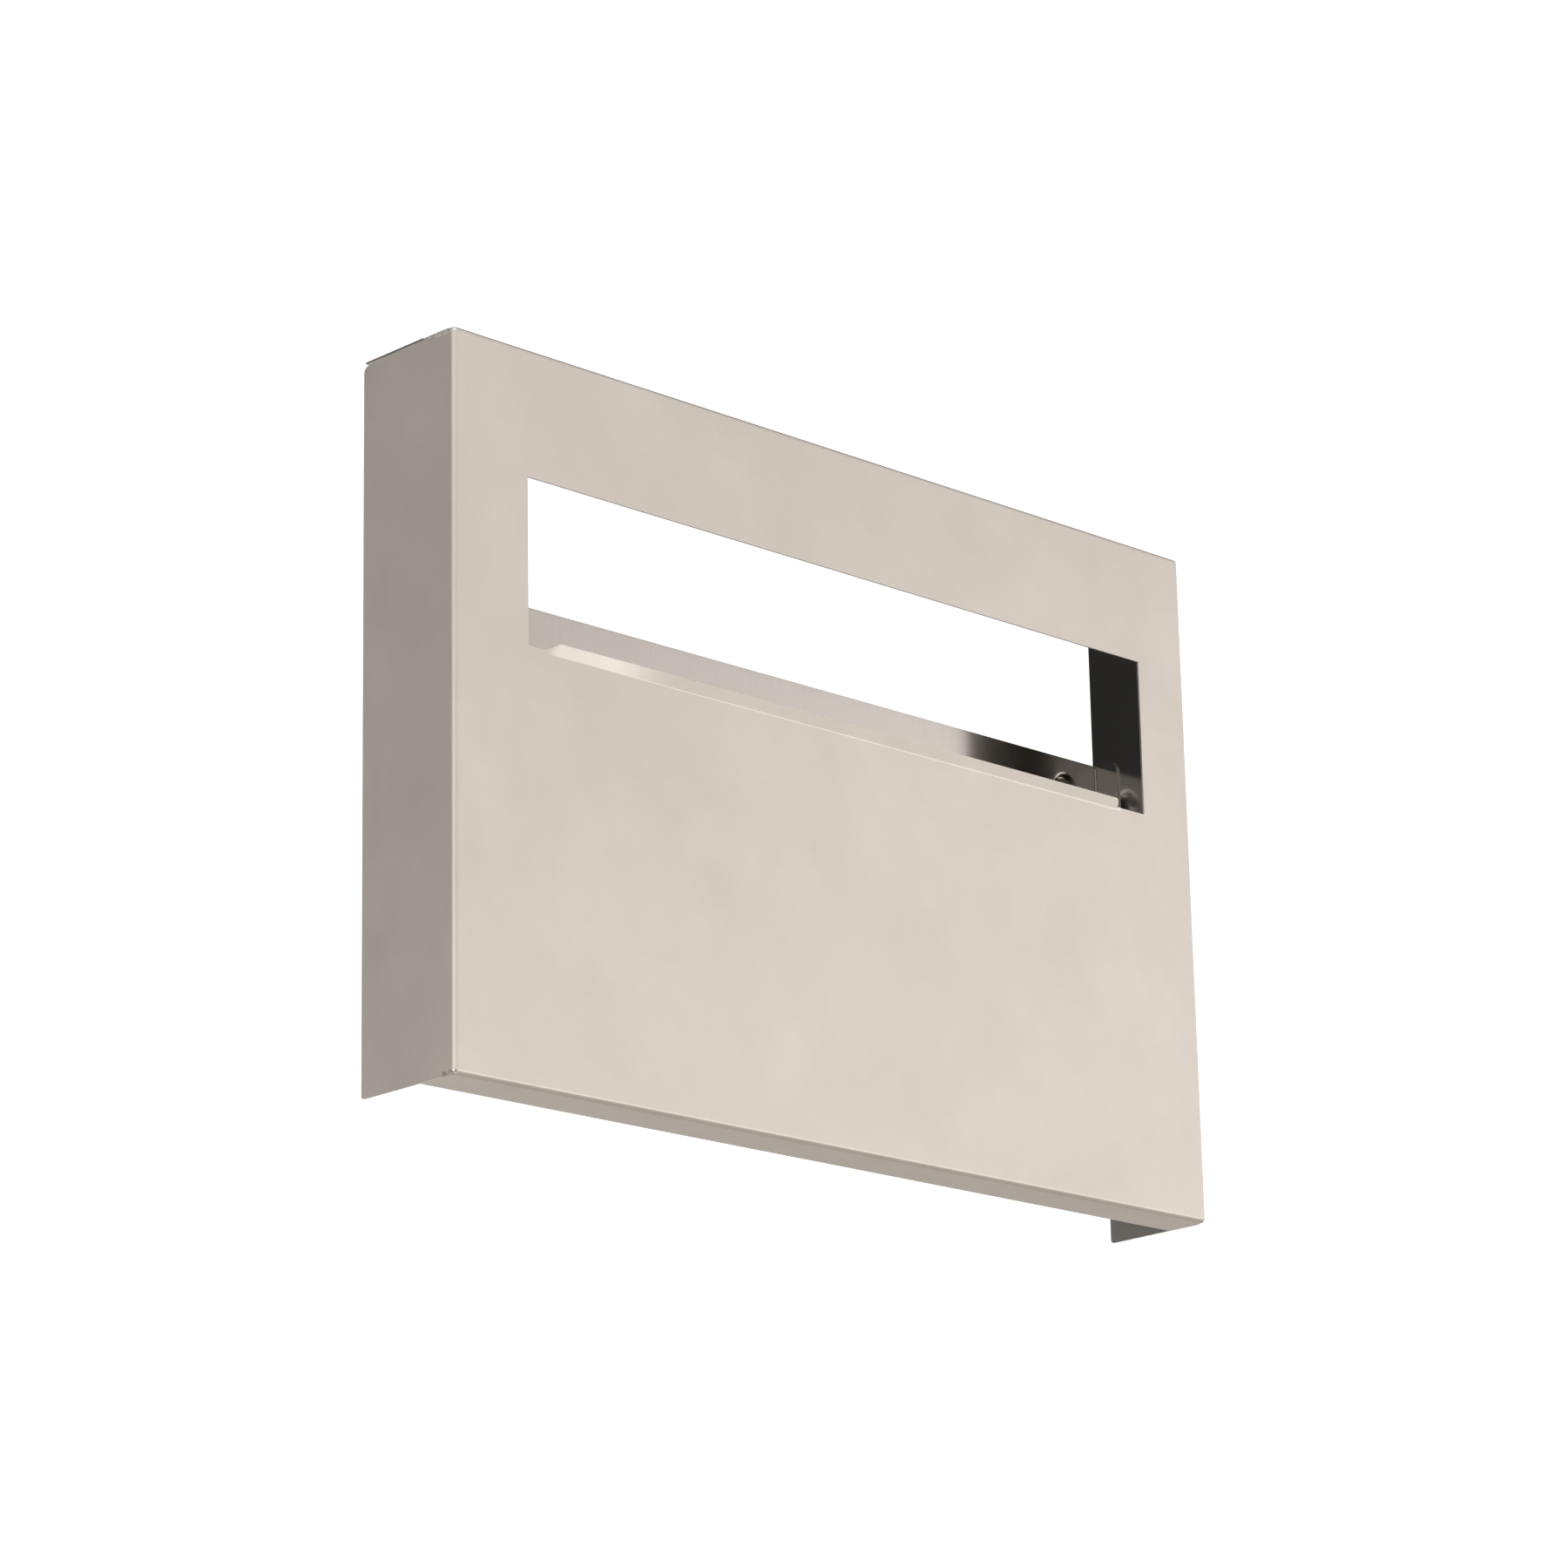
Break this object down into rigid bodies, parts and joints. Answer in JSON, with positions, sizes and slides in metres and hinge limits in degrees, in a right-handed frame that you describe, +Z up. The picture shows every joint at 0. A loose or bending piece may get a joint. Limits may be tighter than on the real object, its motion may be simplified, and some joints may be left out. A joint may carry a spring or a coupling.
{
  "type": "wall-mounted paper cover dispenser cabinet",
  "caption": "Shallow folded stainless wall cabinet with a wide window and pull lip for folded paper covers, open at the bottom rear for filling, screwed to a wall.",
  "frame": {"origin": "on the wall plane, at the centre of the four wall screws", "axes": "+X to the right for a person facing the cabinet, +Y into the wall, +Z up"},
  "size_m": [0.394, 0.0712, 0.28],
  "materials": {
    "shell_steel": "satin ground stainless sheet, warm grey",
    "plate_steel": "smooth mill-finish stainless sheet",
    "weld_steel": "weld metal ground flush, coarse scratches",
    "screw_steel": "bright stainless"
  },
  "bodies": {
    "root": {"front_shell": "shell_steel", "back_plate": "plate_steel", "corner_welds": "weld_steel", "wall_screws": "screw_steel"}
  },
  "joints": []
}
